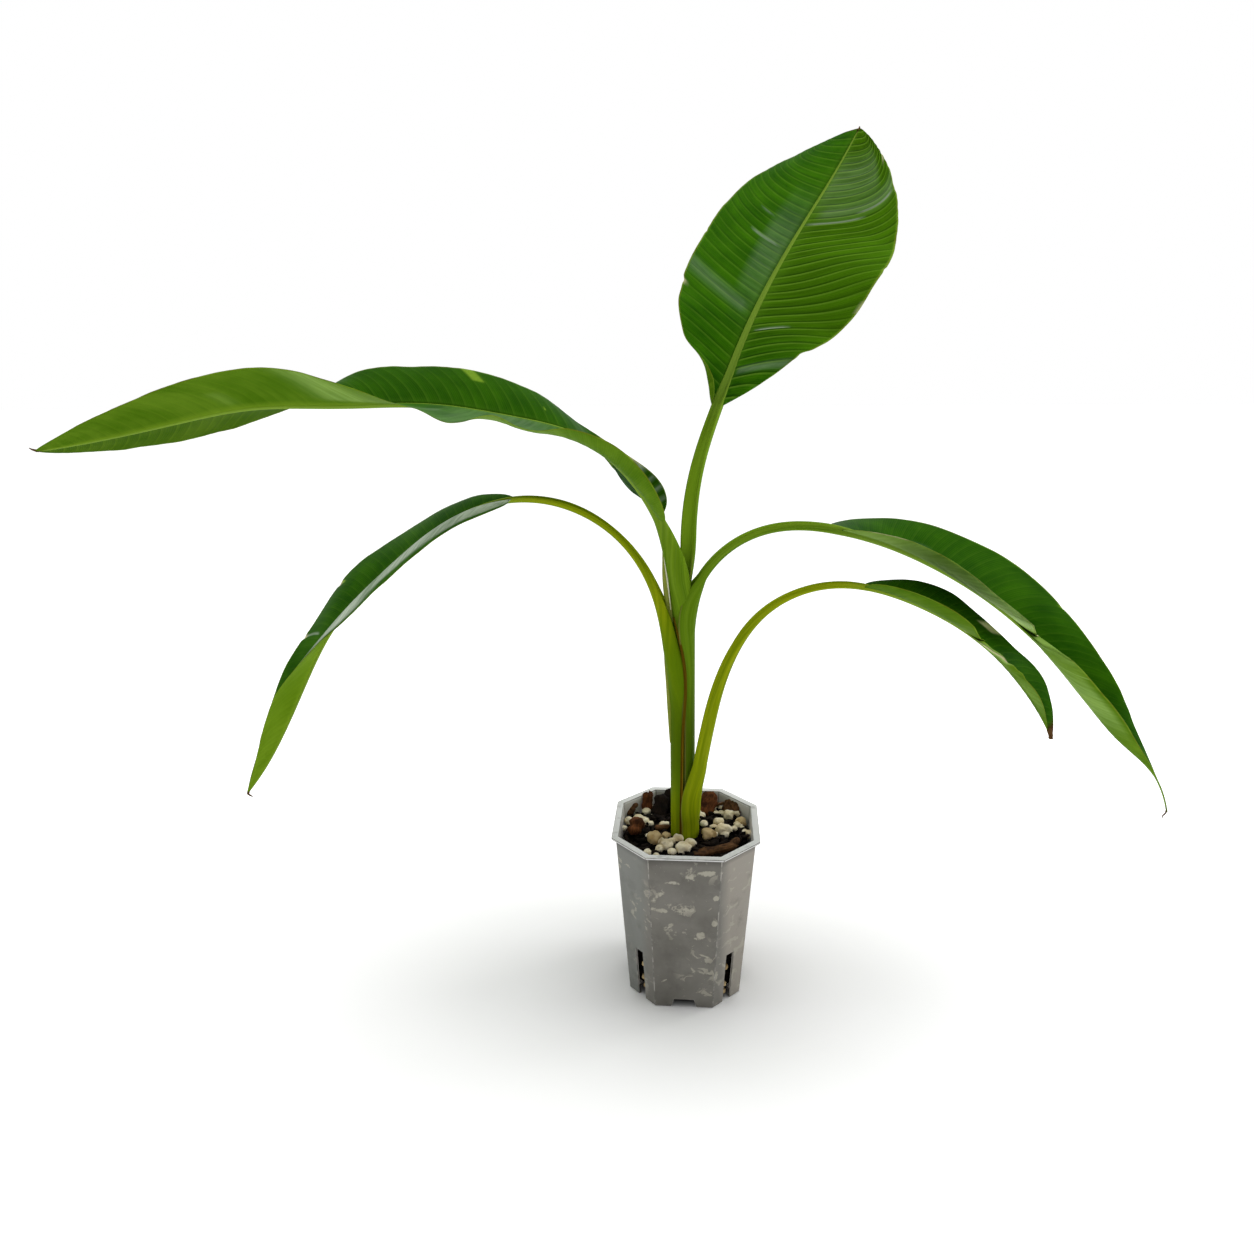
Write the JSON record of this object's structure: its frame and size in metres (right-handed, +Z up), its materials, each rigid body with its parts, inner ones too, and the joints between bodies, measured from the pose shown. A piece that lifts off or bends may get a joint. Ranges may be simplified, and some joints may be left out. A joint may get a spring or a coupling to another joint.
{
  "type": "banana plant",
  "caption": "Young potted banana plant: broad paddle-shaped leaves on arching stalks from one stem of rolled sheaths, in a plain octagonal nursery pot.",
  "frame": {"origin": "middle of the pot's flat underside, on the round pad at its centre", "axes": "+Z up along the pot's axis, -Y towards the front flat of the pot, +X towards the arching right leaf"},
  "size_m": [0.7159, 0.2662, 0.5826],
  "materials": {
    "pot": "matte grey, scuffed with pale mineral stains",
    "medium": "dark loose bark and peat",
    "stalk": "satin yellow-green with fine lengthwise streaks",
    "blade": "glossy leaf with fine cross veins",
    "pumice": "matte, porous",
    "bark": "rough, fibrous"
  },
  "bodies": {
    "root": {"pot": "pot", "growing_medium": "medium", "stem_core": "stalk", "upright_petiole": "stalk", "long_petiole": "stalk", "left_sheath": "stalk", "left_petiole_lower": "stalk", "left_petiole_upper": "stalk", "right_sheath": "stalk", "right_petiole_lower": "stalk", "right_petiole_upper": "stalk", "small_sheath": "stalk", "small_petiole_lower": "stalk", "small_petiole_upper": "stalk", "upright_blade": "blade", "long_blade_inner": "blade", "long_blade_outer": "blade", "left_blade_inner": "blade", "left_blade_outer": "blade", "right_blade_inner": "blade", "right_blade_outer": "blade", "small_blade": "blade", "pumice_1": "pumice", "pumice_2": "pumice", "pumice_3": "pumice", "pumice_4": "pumice", "pumice_5": "pumice", "pumice_6": "pumice", "pumice_7": "pumice", "pumice_8": "pumice", "pumice_9": "pumice", "pumice_10": "pumice", "pumice_11": "pumice", "pumice_12": "pumice", "pumice_13": "pumice", "pumice_14": "pumice", "bark_1": "bark", "bark_2": "bark", "bark_3": "bark", "bark_4": "bark", "bark_5": "bark", "bark_6": "bark"}
  },
  "joints": []
}
